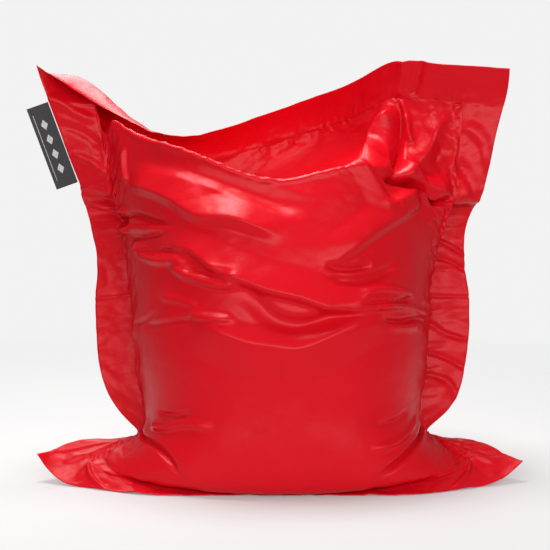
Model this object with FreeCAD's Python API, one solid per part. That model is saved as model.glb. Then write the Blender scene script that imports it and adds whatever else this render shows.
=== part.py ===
import FreeCAD
import Part
import math
import os

# Bean bag chair, stood on one short end and pressed into a seat.
# Two nylon panels are sewn together round their edge, turned, and stitched through again one border width in.
# The beads fill the sack inside that topstitch, and the border round it stays flat.
# A zip runs across the back panel just under the top border, and a folded label is caught in the left edge.
# Millimetres. -Y is the front, +X is to the right seen from the front, +Z is up, and the floor is Z = 0.

Vector = FreeCAD.Vector

# Flat cut of each panel
PANEL_LENGTH = 1650.0
BORDER = 100.0
SACK_LENGTH = PANEL_LENGTH - 2 * BORDER

# Heights and depths of the chair as it stands
TIP_X = 612.0  # corners of the border from the middle
TOP_TIP_Z = 1050.0
TOP_SEAM_Z = 858.0  # topstitch behind the seat, at the middle
TOP_SEAM_Y = 158.0
RIDGE_Z = 768.0  # front lip of the seat
SEAT_Z = 695.0  # bottom of the seat hollow
FRONT_Y = -400.0
BACK_Y = 378.0
TOP_LEAN = 0.24  # rise of the top border per unit across, at the middle
TOP_TURN = -0.13  # how far it swings back per unit across, at the middle
BASE_DIP = 40.0  # how far the back panel's control lines pass under the floor before it is cut flat
BODY_FULLNESS = 2.4  # 2 is an ellipse in plan, and more is squarer
TOP_FULLNESS = 4.0

# Fabric and beads
PLY = 1.5  # thickness that stands for the coated nylon
PLY_GAP = 0.5  # half the space between the front and back plies in the border
FILL_CLEAR = 12.0  # from the fabric to the beads
THREAD_R = 0.6
STITCH_PITCH = 16.0
STITCH_LENGTH = 11.0
RING_STEPS = 500  # places tried for a stitch along each side of the sack
FILL_WIDTH = 0.9  # share of the half width, in columns, that the beads reach
FILL_ROWS = [90, 120, 160, 220, 300, 430, 560, 700, 810, 900, 1000, 1080, 1150, 1200, 1240]
FILL_INSET = 0.3  # largest share of the local thickness taken off each side of the beads
FLOOR_REST = PLY * 1.3  # lowest the inside of a panel's control lines may pass

# Zip
ZIP_LENGTH = 460.0
ZIP_V = 1375.0  # where it crosses the back panel, from the bottom topstitch
ZIP_SLOT = 16.0
SLOT_SPARE = 1.0  # slot past each end of the teeth
SLOT_CUT = (-10.0, 30.0)  # depth range cut through the panel
ZIP_SINK = 1.2  # from the inside of the panel to the tape
ZIP_STITCH_INSET = 3.0  # from the slot to the row of stitches beside it
ZIP_STITCH_OVER = 6.0  # stitches past each end of the teeth
TAPE_WIDTH = 16.0
TAPE_END = 14.0  # tape past each end of the teeth
TAPE_THICK = 0.8
COIL_WIDTH = 3.0
COIL_THICK = 2.4
COIL_GAP = 1.6
COIL_ROUND = 0.7
HAIRLINE = 0.02  # space left between parts that lie on each other
SLIDER_LENGTH = 16.0
SLIDER_WIDTH = 12.0
SLIDER_PLATE = 1.3
SLIDER_CLEAR = 0.5
SLIDER_ROUND = 0.6
UNDER_INSET = 1.0  # the lower plate is this much narrower on each side
NECK_WIDTH = 0.7
NECK_SPAN = (1.5, 4.0)  # from the slider's nose
CHEEK_SPAN = (0.2, 1.1)  # from the slider's side
CHEEK_INSET = 1.0
BRIDGE_WIDTH = 2.8
BRIDGE_INSET = 2.0
BRIDGE_HEIGHT = 3.7
TUNNEL_INSET = 4.2
TUNNEL_SPAN = (0.2, 2.9)
OVERLAP = 0.5  # how far the slider's pieces run into each other
STOP_LENGTH = 5.0
STOP_OVERHANG = 0.8
STOP_RISE = 0.6
STOP_ROUND = 0.5
STOP_GAP = 0.1

# Side label
LABEL_LOW_V = 1222.0  # ends of the label, from the bottom topstitch
LABEL_HIGH_V = 1444.0
LABEL_REACH = 60.0
LABEL_THICK = 1.2
LABEL_HINGE = 1.5  # from the border's edge to the line the label swings on
LABEL_START = 0.9  # from that line to the label
LABEL_ROUND = 0.5

# Lines of the sack, as (distance up the panel from the bottom topstitch, x, y, z)
BORDER_BOTTOM = (-BORDER, 0, -375, 6)
BORDER_TOP = (SACK_LENGTH + BORDER, 0, TOP_SEAM_Y + 22, TOP_SEAM_Z + 87)
CENTRE_FRONT = [
    BORDER_BOTTOM,
    (0, 0, -280, 8),
    (118, 0, -360, 70),
    (270, 0, FRONT_Y, 220),
    (455, 0, FRONT_Y, 410),
    (635, 0, -362, 592),
    (780, 0, -285, 720),
    (890, 0, -200, RIDGE_Z),
    (1000, 0, -100, RIDGE_Z - 20),
    (1130, 0, -8, SEAT_Z),
    (1260, 0, 82, SEAT_Z + 22),
    (1360, 0, 132, 784),
    (SACK_LENGTH, 0, TOP_SEAM_Y, TOP_SEAM_Z),
    BORDER_TOP,
]
CENTRE_BACK = [
    BORDER_BOTTOM,
    (0, 0, -280, 8),
    (100, 0, -190, -BASE_DIP * 0.6),
    (230, 0, -70, -BASE_DIP),
    (500, 0, 190, -BASE_DIP),
    (620, 0, 305, 20),
    (730, 0, 355, 108),
    (860, 0, BACK_Y, 252),
    (1040, 0, 362, 442),
    (1220, 0, 302, 640),
    (1360, 0, 218, 780),
    (SACK_LENGTH, 0, TOP_SEAM_Y, TOP_SEAM_Z),
    BORDER_TOP,
]
SIDE_SEAM = [
    (-BORDER, 508, -255, 36),
    (0, 476, -200, 54),
    (135, 408, -140, 90),
    (260, 356, -90, 132),
    (405, 372, -60, 252),
    (590, 388, -35, 397),
    (770, 397, -12, 522),
    (950, 405, 0, 627),
    (1130, 422, 2, 718),
    (1260, 446, -4, 775),
    (1355, 461, -14, 862),
    (SACK_LENGTH, 476, -25, 955),
    (SACK_LENGTH + BORDER, 496, -30, 1037),
]
SIDE_HEM = [
    (-BORDER, TIP_X, -215, 68),
    (0, 566, -180, 86),
    (135, 475, -125, 106),
    (260, 385, -70, 124),
    (405, 448, -40, 242),
    (590, 485, -15, 390),
    (770, 488, 4, 506),
    (950, 483, 5, 602),
    (1130, 503, -8, 695),
    (1222, 527, -18, 757),
    (1330, 561, -30, 852),
    (SACK_LENGTH, 597, -42, 962),
    (SACK_LENGTH + BORDER, TIP_X, -40, TOP_TIP_Z),
]

HALF_COLUMNS = [0.0, 0.2, 0.4, 0.58, 0.73, 0.85, 0.94, 1.0, 1.1, 1.5, 2.0]
COLUMNS = [-t for t in reversed(HALF_COLUMNS[1:])] + HALF_COLUMNS
ROWS = [-BORDER, -55, -10, 0, 55, 120, 200, 300, 430, 560, 700, 810, 900, 1000, 1090, 1180, 1265]
ROWS += [1340, 1405, SACK_LENGTH, 1462, 1505, SACK_LENGTH + BORDER]


def smooth(knots):
    """A smooth line through its knots, read by distance up the panel."""
    line = Part.BSplineCurve()
    line.interpolate(Points=[Vector(*k[1:]) for k in knots], Parameters=[float(k[0]) for k in knots])
    return line.value


def centre_line(knots):
    """A panel's middle line: smooth over the sack, and straight over the border at each end."""
    sack = smooth(knots[1:-1])
    low, low_edge = Vector(*knots[1][1:]), Vector(*knots[0][1:])
    high, high_edge = Vector(*knots[-2][1:]), Vector(*knots[-1][1:])

    def at(v):
        if v < 0:
            return low + (low_edge - low) * (-v / BORDER)
        if v > SACK_LENGTH:
            return high + (high_edge - high) * ((v - SACK_LENGTH) / BORDER)
        return sack(v)

    return at


centre_front = centre_line(CENTRE_FRONT)
centre_back = centre_line(CENTRE_BACK)
side_seam = smooth(SIDE_SEAM)
side_hem = smooth(SIDE_HEM)


def sheet_point(t, v, centre):
    """A point of one panel: t is 0 at the middle, 1 at the side seam and 2 at the hem, and v is up the panel."""
    side = -1.0 if t < 0 else 1.0
    a = abs(t)
    seam = side_seam(v)
    if a > 1.0:
        p = seam + (side_hem(v) - seam) * (a - 1.0)
        return Vector(side * p.x, p.y, p.z)
    top_share = min(max((v - 1000.0) / 350.0, 0.0), 1.0)
    power = 2.0 / (BODY_FULLNESS + (TOP_FULLNESS - BODY_FULLNESS) * top_share)
    across = math.sin(a * math.pi / 2) ** power
    reach = max(math.cos(a * math.pi / 2), 0.0) ** power
    middle = centre(v)
    p = Vector(side * seam.x * across, seam.y, seam.z) + Vector(0, middle.y - seam.y, middle.z - seam.z) * reach
    swing = top_share * p.x * (1.0 - across**2)
    return p + Vector(0, TOP_TURN, TOP_LEAN) * swing


def layer(columns, rows, centre, facing, distance, floor=None):
    """A net of points a distance off one panel. facing is 1 for the front panel and -1 for the back."""
    points = [[sheet_point(t, v, centre) for v in rows] for t in columns]
    wide, high = len(columns), len(rows)
    out = []
    for i in range(wide):
        line = []
        for j in range(high):
            du = points[min(i + 1, wide - 1)][j] - points[max(i - 1, 0)][j]
            dv = points[i][min(j + 1, high - 1)] - points[i][max(j - 1, 0)]
            p = points[i][j] + du.cross(dv).normalize() * facing * distance
            line.append(p if floor is None else Vector(p.x, p.y, max(p.z, floor)))
        out.append(line)
    return out


def spline_surface(poles, u_degree=3, v_degree=3):
    spans = [len(poles) - u_degree, len(poles[0]) - v_degree]
    mults = [[d + 1] + [1] * (s - 1) + [d + 1] for d, s in zip((u_degree, v_degree), spans)]
    knots = [[float(i) for i in range(s + 1)] for s in spans]
    surface = Part.BSplineSurface()
    surface.buildFromPolesMultsKnots(
        poles, mults[0], mults[1], knots[0], knots[1], False, False, u_degree, v_degree
    )
    return surface


def thick_sheet(outer, inner):
    """The solid between two nets of the same size, closed by a ruled rim along each of the four edges."""
    rims = [
        (outer[0], inner[0]),
        (outer[-1], inner[-1]),
        ([line[0] for line in outer], [line[0] for line in inner]),
        ([line[-1] for line in outer], [line[-1] for line in inner]),
    ]
    faces = [spline_surface(outer).toShape(), spline_surface(inner).toShape()]
    faces += [spline_surface([list(pair) for pair in zip(near, far)], 3, 1).toShape() for near, far in rims]
    shell = Part.makeShell(faces)
    shell.sewShape()
    solid = Part.makeSolid(shell)
    if solid.Volume < 0:
        solid.reverse()
    return solid


def panel(centre, facing):
    """One panel with its share of the border, and its outside surface."""
    outer = layer(COLUMNS, ROWS, centre, facing, PLY_GAP + PLY)
    inner = layer(COLUMNS, ROWS, centre, facing, PLY_GAP, floor=FLOOR_REST)
    solid = thick_sheet(outer, inner)
    below = Part.makeBox(3000, 3000, 500, Vector(-1500, -1500, -500))
    return solid.cut(below), spline_surface(outer)


def bead_fill():
    """The beads, kept off the fabric and stopping short of where the panels come together."""
    columns = [t * FILL_WIDTH for t in COLUMNS if abs(t) <= 1.0]
    fronts = layer(columns, FILL_ROWS, centre_front, 1, 0.0)
    backs = layer(columns, FILL_ROWS, centre_back, -1, 0.0)
    full = (
        layer(columns, FILL_ROWS, centre_front, 1, -FILL_CLEAR),
        layer(columns, FILL_ROWS, centre_back, -1, -FILL_CLEAR),
    )
    lowest = PLY + FILL_CLEAR
    layers = []
    for own, moved in zip((fronts, backs), full):
        net = []
        for f_line, b_line, own_line, moved_line in zip(fronts, backs, own, moved):
            line = []
            for f, b, p, q in zip(f_line, b_line, own_line, moved_line):
                share = min(1.0, FILL_INSET * (f - b).Length / FILL_CLEAR)
                r = p + (q - p) * share
                line.append(Vector(r.x, r.y, max(r.z, lowest)))
            net.append(line)
        layers.append(net)
    return thick_sheet(*layers)


def pole_place(poles, value):
    """The surface parameter that answers to a column or row value, by the poles' average knots."""
    spans = len(poles) - 3
    flat = [0.0] * 3 + [float(i) for i in range(spans + 1)] + [float(spans)] * 3
    places = [sum(flat[i + 1:i + 4]) / 3 for i in range(len(poles))]
    for i in range(len(poles) - 1):
        if poles[i] <= value <= poles[i + 1]:
            share = (value - poles[i]) / (poles[i + 1] - poles[i])
            return places[i] + (places[i + 1] - places[i]) * share
    raise ValueError(value)


def on_surface(surface, t, v, facing):
    """A point of a panel's outside and the outward direction there."""
    u, w = pole_place(COLUMNS, t), pole_place(ROWS, v)
    du, dv = surface.getDN(u, w, 1, 0), surface.getDN(u, w, 0, 1)
    return surface.value(u, w), du.cross(dv).normalize() * facing


def stitch_row(places):
    """Short rods of thread laid along a row of (point, outward direction)."""
    rods = []
    run = 0.0
    for (a, na), (b, nb) in zip(places, places[1:]):
        run += (b - a).Length
        if run < STITCH_PITCH:
            continue
        run = 0.0
        direction = (b - a).normalize()
        middle = (a + b) * 0.5 + (na + nb).normalize() * THREAD_R
        start = middle - direction * (STITCH_LENGTH / 2)
        rods.append(Part.makeCylinder(THREAD_R, STITCH_LENGTH, start, direction))
    return rods


def border_topstitch(front, back):
    """The thread one border width in from the edge, on both faces."""
    up = [(1.0, SACK_LENGTH * i / RING_STEPS) for i in range(RING_STEPS + 1)]
    over = [(1.0 - 2.0 * i / RING_STEPS, SACK_LENGTH) for i in range(1, RING_STEPS)]
    ring = up + over + [(-t, v) for t, v in reversed(up)] + [(-t, 0.0) for t, v in over]
    rods = []
    for surface, facing in ((front, 1), (back, -1)):
        places = [on_surface(surface, t, v, facing) for t, v in ring + ring[:1]]
        rods += stitch_row([(p, n) for p, n in places if p.z > THREAD_R * 3])
    return Part.makeCompound(rods)


class Straight:
    """A straight frame on a panel: along, across and out from a middle point."""

    def __init__(self, start, end, out):
        self.middle = (start + end) * 0.5
        self.along = (end - start).normalize()
        self.across = out.cross(self.along).normalize()
        self.out = self.along.cross(self.across)

    def at(self, a, c, h):
        return self.middle + self.along * a + self.across * c + self.out * h

    def box(self, a, c, h):
        """A block between the two ends given on each of the three directions."""
        block = Part.makeBox(a[1] - a[0], c[1] - c[0], h[1] - h[0], Vector(a[0], c[0], h[0]))
        x, y, z, m = self.along, self.across, self.out, self.middle
        block.transformShape(
            FreeCAD.Matrix(x.x, y.x, z.x, m.x, x.y, y.y, z.y, m.y, x.z, y.z, z.z, m.z, 0, 0, 0, 1)
        )
        return block


def zip_frame(surface):
    """The zip's straight line under the back panel, with height 0 on top of its tape."""
    half = ZIP_LENGTH / 2 + TAPE_END
    low, high = 0.0, 0.9
    for _ in range(40):
        t = (low + high) / 2
        gap = (on_surface(surface, t, ZIP_V, -1)[0] - on_surface(surface, -t, ZIP_V, -1)[0]).Length
        low, high = (t, high) if gap < 2 * half else (low, t)
    start, out = on_surface(surface, -t, ZIP_V, -1)
    end, out_end = on_surface(surface, t, ZIP_V, -1)
    line = Straight(start, end, out + out_end + on_surface(surface, 0.0, ZIP_V, -1)[1] * 2)
    line.middle = line.middle - line.out * (PLY + ZIP_SINK)
    return line


def zip_parts(line):
    half = ZIP_LENGTH / 2
    inner = COIL_GAP / 2
    teeth = (-half + STOP_LENGTH, half - STOP_LENGTH)
    tape = (-half - TAPE_END, half + TAPE_END)
    parts = {}
    for name, side in (("upper", -1), ("lower", 1)):
        coil = sorted((side * inner, side * (inner + COIL_WIDTH)))
        band = sorted((side * inner, side * (inner + TAPE_WIDTH)))
        parts["zip_tape_" + name] = line.box(tape, band, (-TAPE_THICK, 0.0))
        block = line.box(teeth, coil, (HAIRLINE, COIL_THICK))
        long_edges = [e for e in block.Edges if e.Length > ZIP_LENGTH / 2]
        parts["zip_coil_" + name] = block.makeFillet(COIL_ROUND, long_edges)
    reach = inner + COIL_WIDTH + STOP_OVERHANG
    for name, a in (("closed", (teeth[1] + STOP_GAP, half)), ("open", (-half, teeth[0] - STOP_GAP))):
        block = line.box(a, (-reach, reach), (HAIRLINE, COIL_THICK + STOP_RISE))
        parts["zip_stop_" + name] = block.makeFillet(STOP_ROUND, block.Edges)
    return parts


def zip_slider(line):
    """The slider at the closed end: two plates joined by a thin neck, with a low bridge and no pull."""
    nose = ZIP_LENGTH / 2 - STOP_LENGTH - SLIDER_CLEAR
    tail = nose - SLIDER_LENGTH
    w = SLIDER_WIDTH / 2
    top = COIL_THICK + SLIDER_CLEAR
    low = -TAPE_THICK - SLIDER_CLEAR

    upper = line.box((tail, nose), (-w, w), (top, top + SLIDER_PLATE))
    upper = upper.makeFillet(SLIDER_ROUND, upper.Edges)
    under = line.box((tail, nose), (UNDER_INSET - w, w - UNDER_INSET), (low - SLIDER_PLATE, low))
    under = under.makeFillet(SLIDER_ROUND, under.Edges)

    joined = (low - OVERLAP, top + OVERLAP)
    neck = line.box((nose - NECK_SPAN[1], nose - NECK_SPAN[0]), (-NECK_WIDTH / 2, NECK_WIDTH / 2), joined)
    cheek_run = (tail + CHEEK_INSET, nose - CHEEK_INSET)
    cheek_rise = (SLIDER_CLEAR, top + OVERLAP)
    cheeks = [
        line.box(cheek_run, sorted(side * (w - inset) for inset in CHEEK_SPAN), cheek_rise) for side in (1, -1)
    ]

    deck = top + SLIDER_PLATE
    bridge = line.box(
        (tail + BRIDGE_INSET, nose - BRIDGE_INSET),
        (-BRIDGE_WIDTH / 2, BRIDGE_WIDTH / 2),
        (top + OVERLAP, top + OVERLAP + BRIDGE_HEIGHT),
    )
    bridge = bridge.makeFillet(SLIDER_ROUND, [e for e in bridge.Edges if e.Length < BRIDGE_HEIGHT + OVERLAP])
    tunnel = line.box(
        (tail + TUNNEL_INSET, nose - TUNNEL_INSET),
        (-BRIDGE_WIDTH, BRIDGE_WIDTH),
        (deck + TUNNEL_SPAN[0], top + TUNNEL_SPAN[1]),
    )
    return upper.multiFuse([under, neck, bridge.cut(tunnel)] + cheeks).removeSplitter()


def zip_topstitch(line, surface):
    """One row of thread along each side of the zip's slot, on the outside of the panel."""
    rods = []
    for side in (1, -1):
        places = []
        for i in range(RING_STEPS + 1):
            a = (2.0 * i / RING_STEPS - 1.0) * (ZIP_LENGTH / 2 + ZIP_STITCH_OVER)
            start = line.at(a, side * (ZIP_SLOT / 2 + ZIP_STITCH_INSET), 0)
            u, w = surface.parameter(start + line.out * (PLY + ZIP_SINK))
            places.append((surface.value(u, w), line.out))
        rods += stitch_row(places)
    return Part.makeCompound(rods)


def label_frame(surface):
    """The straight line beside the border's left edge that the side label swings on."""
    rows = [LABEL_LOW_V + (LABEL_HIGH_V - LABEL_LOW_V) * i / 20.0 for i in range(21)]
    edge = [on_surface(surface, -2.0, v, 1) for v in rows]
    line = Straight(edge[0][0], edge[-1][0], edge[0][1] + edge[-1][1])
    bulge = max((p - line.middle).dot(line.across) for p, _ in edge)
    line.middle = line.middle + line.across * (bulge + LABEL_HINGE) - line.out * (PLY + PLY_GAP)
    return line


def side_label(line):
    half = (LABEL_HIGH_V - LABEL_LOW_V) / 2
    depth = (-LABEL_THICK / 2, LABEL_THICK / 2)
    block = line.box((-half, half), (LABEL_START, LABEL_REACH), depth)
    return block.makeFillet(LABEL_ROUND, [e for e in block.Edges if e.Length > LABEL_REACH / 2])


def main():
    os.makedirs("parts", exist_ok=True)
    front, front_outside = panel(centre_front, 1)
    back, back_outside = panel(centre_back, -1)
    zip_line = zip_frame(back_outside)
    half_slot = ZIP_LENGTH / 2 + SLOT_SPARE
    slot = zip_line.box((-half_slot, half_slot), (-ZIP_SLOT / 2, ZIP_SLOT / 2), SLOT_CUT)

    nodes = {
        "front_panel": front,
        "back_panel": back.cut(slot),
        "bean_fill": bead_fill(),
        "border_topstitch": border_topstitch(front_outside, back_outside),
        "zip_slider": zip_slider(zip_line),
        "zip_topstitch": zip_topstitch(zip_line, back_outside),
        "side_label": side_label(label_frame(front_outside)),
    }
    nodes.update(zip_parts(zip_line))
    for name, shape in nodes.items():
        shape.exportStep("parts/" + name + ".step")


main()
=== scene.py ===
import math

import bpy
import numpy as np
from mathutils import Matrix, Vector


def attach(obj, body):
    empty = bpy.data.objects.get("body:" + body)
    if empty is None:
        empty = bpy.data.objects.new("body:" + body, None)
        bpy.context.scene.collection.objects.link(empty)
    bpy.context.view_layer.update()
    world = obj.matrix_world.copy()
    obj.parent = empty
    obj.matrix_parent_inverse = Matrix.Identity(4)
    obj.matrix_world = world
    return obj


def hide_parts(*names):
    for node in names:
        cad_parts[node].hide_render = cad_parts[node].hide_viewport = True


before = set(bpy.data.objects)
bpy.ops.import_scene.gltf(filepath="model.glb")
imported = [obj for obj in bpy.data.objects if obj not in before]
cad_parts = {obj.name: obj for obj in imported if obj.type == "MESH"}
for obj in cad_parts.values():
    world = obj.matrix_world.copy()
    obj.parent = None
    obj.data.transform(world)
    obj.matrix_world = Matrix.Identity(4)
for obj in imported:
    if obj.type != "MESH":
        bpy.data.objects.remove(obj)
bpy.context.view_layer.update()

# Bean bag chair. Metres, -Y is the front, +Z is up. u runs across the flat panel from its middle and v up it
# from the bottom topstitch. The sack lies inside the topstitch and the flat border outside it. Grids are
# (layer, u, v), with the front panel as layer 0. Tables of lines and of folds are in millimetres.

WIDTH, LENGTH, BORDER = 1.4, 1.65, 0.1
SACK = LENGTH - 2 * BORDER  # the top topstitch
SIDE = WIDTH / 2 - BORDER  # the side topstitches, at -SIDE and SIDE
FLOOR = 0.003  # lowest place of the settled cloth

# Centre lines of the two panels as (v, x, y, z)
FRONT = [
    (0, 0, -320, 12), (50, 0, -360, 10), (85, 0, -388, 14), (120, 0, -405, 42), (272, 0, -411, 200),
    (453, 0, -407, 385), (634, 0, -371, 567), (779, 0, -293, 692), (888, 0, -205, 756), (997, 0, -100, 735),
    (1133, 0, 10, 655), (1269, 0, 100, 690), (1359, 0, 140, 775), (1450, 0, 165, 858),
]
BACK = [
    (0, 0, -320, 12), (109, 0, -212, 2), (227, 0, -60, 0), (471, 0, 200, 0), (598, 0, 285, 60),
    (725, 0, 325, 180), (861, 0, 338, 320), (1042, 0, 322, 500), (1223, 0, 275, 680), (1375, 0, 205, 800),
    (1450, 0, 165, 858),
]
# Side topstitches and hems as (v, x, y, z)
LEFT_SEAM = [
    (0, -482, -200, 52), (136, -412, -140, 85), (263, -352, -90, 118), (400, -365, -62, 225),
    (550, -382, -40, 345), (700, -392, -25, 455), (860, -400, -12, 565), (990, -408, -10, 645),
    (1070, -418, 15, 680), (1150, -437, -30, 715), (1250, -450, -45, 790), (1350, -466, -35, 875),
    (1450, -482, -25, 955),
]
LEFT_HEM = [
    (0, -570, -180, 77), (136, -480, -125, 92), (263, -373, -70, 103), (315, -414, -60, 143),
    (400, -463, -45, 225), (550, -483, -20, 335), (700, -487, -5, 440), (860, -484, 8, 550),
    (990, -500, 10, 635), (1070, -513, 20, 680), (1150, -521, -5, 715), (1222, -527, -18, 757),
    (1330, -561, -30, 854), (1450, -597, -42, 962),
]
RIGHT_SEAM = [
    (0, 478, -200, 52), (136, 412, -140, 88), (263, 364, -90, 128), (400, 375, -60, 235),
    (550, 385, -42, 345), (700, 392, -25, 450), (860, 402, -8, 560), (990, 412, 0, 640),
    (1080, 432, -15, 685), (1170, 452, -70, 705), (1250, 458, -55, 768), (1350, 467, -40, 862),
    (1450, 477, -30, 958),
]
RIGHT_HEM = [
    (0, 568, -180, 67), (136, 478, -125, 91), (263, 388, -70, 108), (315, 436, -58, 150),
    (400, 480, -40, 235), (550, 497, -20, 340), (700, 500, 0, 445), (860, 488, 12, 550),
    (990, 494, 10, 640), (1080, 513, 0, 690), (1170, 523, -45, 710), (1250, 538, -50, 770),
    (1350, 558, -45, 865), (1450, 578, -42, 945),
]
# Lines across as (u, x, y, z)
BOTTOM_EDGE = [
    (-700, -614, -215, 72), (-630, -558, -246, 16), (-540, -478, -285, 4), (-450, -390, -330, 3),
    (-200, -190, -362, 3), (0, 0, -360, 3), (200, 190, -362, 3), (450, 390, -330, 3), (540, 478, -285, 4),
    (630, 555, -246, 14), (700, 614, -215, 55),
]
TOP_SEAM = [
    (-600, -482, -25, 955), (-500, -455, 45, 880), (-380, -375, 115, 830), (-200, -220, 168, 802),
    (0, -30, 165, 848), (160, 110, 130, 890), (300, 215, 65, 930), (420, 305, -5, 972),
    (500, 385, -20, 965), (600, 477, -30, 958),
]
TOP_MID = [
    (-700, -612, -45, 1000), (-600, -535, 10, 1025), (-500, -462, 70, 975), (-380, -380, 125, 895),
    (-200, -220, 155, 842), (0, -30, 155, 890), (160, 110, 118, 935), (300, 215, 52, 977),
    (420, 308, -14, 1018), (500, 388, -32, 1010), (600, 484, -44, 1003), (700, 588, -50, 992),
]
TOP_EDGE = [
    (-700, -628, -50, 1053), (-620, -565, -85, 1015), (-540, -505, -80, 975), (-430, -410, -25, 918),
    (-310, -315, 45, 876), (-200, -220, 95, 872), (-100, -120, 120, 899), (0, -30, 128, 931),
    (160, 110, 92, 980), (300, 215, 28, 1024), (420, 310, -34, 1066), (500, 390, -52, 1059),
    (600, 490, -64, 1051), (700, 590, -66, 1045),
]
# Lines of the seat across the front panel as (u, v, x, y, z)
RIDGE = [
    (-600, 1300, -458, -40, 832), (-500, 1310, -430, -70, 910), (-400, 1200, -382, -105, 885),
    (-280, 1080, -290, -190, 854), (-140, 980, -172, -245, 814), (0, 910, -15, -270, 765),
    (120, 920, 113, -265, 787), (250, 990, 222, -220, 800), (360, 1070, 315, -140, 770),
    (450, 1120, 372, -115, 722), (600, 1160, 450, -75, 702),
]
HOLLOW = [
    (-600, 1380, -470, -30, 900), (-500, 1370, -445, -10, 870), (-400, 1340, -390, 50, 810),
    (-280, 1360, -300, 100, 735), (-140, 1310, -180, 120, 700), (0, 1250, -20, 110, 715),
    (120, 1250, 112, 90, 790), (250, 1250, 220, 30, 845), (360, 1280, 290, -40, 870),
    (450, 1290, 362, -60, 850), (600, 1300, 462, -48, 820),
]

# Sculpting. A blend up the panel is (where it starts, how long it is).
LEAN, TURN = 0.24, -0.13  # rise and backward swing of the top per unit across, at the middle
ROUND_LOW, ROUND_TOP = 2.15, 4  # how square the cross-sections are, low down and at the top
TOP_BLEND, BACK_BLEND, SEAT_BLEND = (1.0, 0.35), (0.95, 0.5), (0.45, 0.2)
SEAT_KNOTS = (0, 0.05, 0.0875, 0.125, 0.15, 0.275, 0.4, 0.525, 0.65)  # heights held below the lip

# Settling as cloth
LEVELS = ((56, 80, 1, 0.0006), (112, 50, 2, 0.0004))  # cells across, steps, random seed, first roughness
HOLD_SACK, HOLD_BELLY, HOLD_BORDER = 0.06, 0.1, 0.05  # share of the way back to the goal, at each step
HOLD_SEAM, HOLD_HEM, HOLD_WAIST = 0.12, 0.14, 0.5
BELLY_TOP, BELLY_FADE, BELLY_SIDE = 0.85, 0.3, 0.15
WAIST = 0.262  # height of the pinch in both sides
GATHER_SEAM, GATHER_EAR, GATHER_BORDER = 0.22, 0.1, 0.07  # share of the spare cloth that is kept
GATHER_WIDE, SPARE_LIMIT = 0.07, 0.2
WEAVE_TIE, BIAS_TIE = (0.9, 0.3), (0.3, 0.1)  # resistance to stretching and to squeezing
STIFF_SACK, STIFF_BORDER, DRAG, TIE_PASSES = 0.16, 0.3, 0.88, 5

# Straight frames of the zip and of the label's hinge, as in the CAD model: middle, along, across, out
ZIP = np.array([
    (0.00003, 0.19956, 0.79512), (0.986798, -0.077135, 0.142409),
    (0.160837, 0.569959, -0.805778), (-0.019013, 0.818044, 0.574841),
])
LABEL = np.array([
    (-0.563838, -0.029979, 0.855389), (-0.324027, -0.11279, 0.9393),
    (-0.932494, -0.129386, -0.337215), (0.159567, -0.985159, -0.063252),
])

# Zip: its middle on the flat panel, the slot, and how far round it the cloth is laid flat, below and above
ZIP_U, ZIP_V, ZIP_HALF, SLOT_HALF, ZIP_LIFT = 0.03, 1.3725, 0.231, 0.008, 0.0019
FLAT_BELOW, FLAT_ABOVE, FLAT_FULL, FLAT_ALONG, FLAT_FADE = 0.16, 0.074, 0.016, 0.37, 0.13
CALM_ALONG, CALM_FADE, CALM_ACROSS, CALM_EDGE = 0.3, 0.05, 0.05, 0.03  # how far round it no folds reach
ZIP_ROWS, ZIP_SEWN = (0.011, 0.013), 0.228  # rows of stitches out from the middle, and their half length
ZIP_STITCH = (0.0036, 0.0028, 0.0003)  # pitch, length and radius
COIL_HALF, COIL_PITCH, COIL_WIRE, COIL_STEPS = 0.224, 0.0019, 0.00032, 9
COIL_OFF, COIL_WIDE, COIL_RISE, COIL_TALL = 0.0021, 0.0016, 0.0012, 0.001

# Label: its ends up the panel, the folded ply and the pattern on it
LABEL_LOW, LABEL_HIGH, LABEL_REACH, LABEL_HALF = 1.222, 1.444, 0.06, 0.111
HEM_TO_HINGE, EDGE_FADE = 0.0008, 0.04
LABEL_ROOT, LABEL_BEND, LABEL_PLY = 0.0012, 0.00042, 0.0005
LABEL_WAVE, WAVE_TURNS, WAVE_START = 0.0012, 32, 0.8
LABEL_STEPS, LABEL_ROWS = 60, 75
LOZENGES, LOZENGE_WIDE, LOZENGE_TALL = (-0.062, -0.022, 0.018, 0.058), 0.009, 0.014
MARK_REACH, MARK_THREAD, MARK_LINE, LINE_HALF = 0.03, 0.0007, 0.0495, 0.09

# Cloth: heights of its faces above the settled surface, raised at the rolled hem and sunk at the topstitch
PLY_INSIDE, PLY_OUTSIDE, PLY_RIM = 0.00015, 0.001, 0.0002
HEM_ROLL, HEM_AT, HEM_WIDE, HEM_ROUND = 0.0007, 0.005, 0.004, 0.0012
GROOVE, GROOVE_WIDE = 0.0006, 0.0022
TOPSTITCH = (0.0052, 0.0038, 0.00035)  # pitch, length and radius
STITCH_RINGS = ((-0.5, 0.25), (-0.38, 0.9), (0, 1), (0.38, 0.9), (0.5, 0.25))  # place, share of radius
STITCH_SINK, STITCH_RISE = 1.1, 0.6  # how far its ends dip and its middle stands, in radii
SPOKES = 6

# Finished grid: its pitch and the places of extra lines beside the topstitch and the hem
GRID, BESIDE_SEAM, BESIDE_HEM = 0.005, (-0.003, -0.0015, 0.0015, 0.003), (0.0006, 0.0018, 0.0034)

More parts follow.
